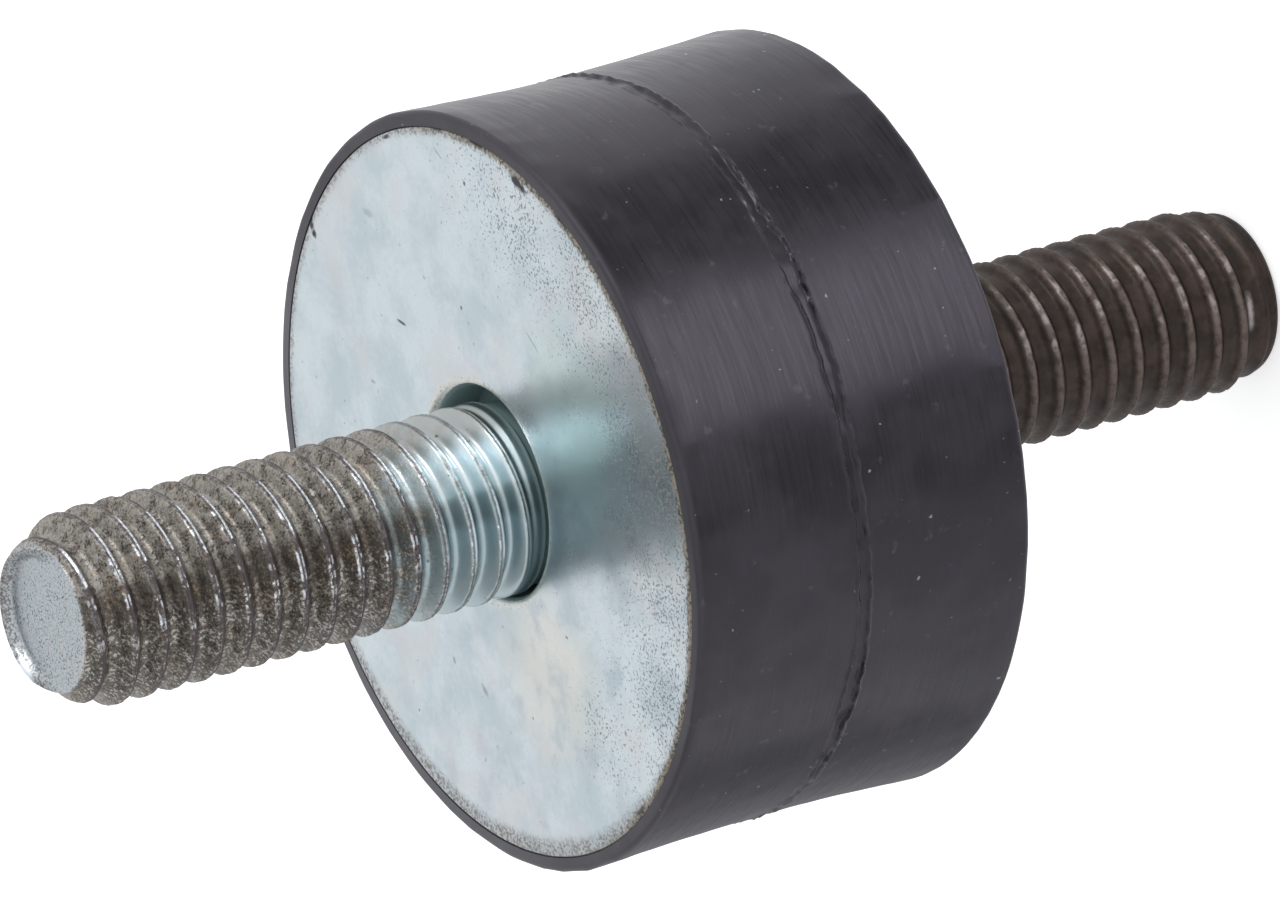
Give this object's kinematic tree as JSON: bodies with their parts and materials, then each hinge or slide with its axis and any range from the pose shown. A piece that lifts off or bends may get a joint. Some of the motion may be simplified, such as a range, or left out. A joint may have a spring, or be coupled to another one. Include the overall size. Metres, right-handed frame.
{
  "type": "bobbin vibration mount",
  "caption": "Round rubber vibration mount bonded between steel end plates, with a threaded stud standing out of each end.",
  "frame": {"origin": "on the axis, in the plane of the lower plate's mounting face, where the lower stud leaves it", "axes": "+Z along the studs and the rubber block, from the lower stud to the upper one"},
  "size_m": [0.03, 0.03, 0.055],
  "materials": {
    "rubber": "satin moulded black rubber",
    "plate_zinc": "bright blue-white zinc plate with fine dark specks",
    "stud_zinc": "zinc-plated rolled thread, dulled and speckled",
    "stud_browned": "rolled thread, browned and dull"
  },
  "bodies": {
    "root": {"rubber_body": "rubber", "upper_plate": "plate_zinc", "lower_plate": "plate_zinc", "upper_stud": "stud_zinc", "lower_stud": "stud_browned"}
  },
  "joints": []
}
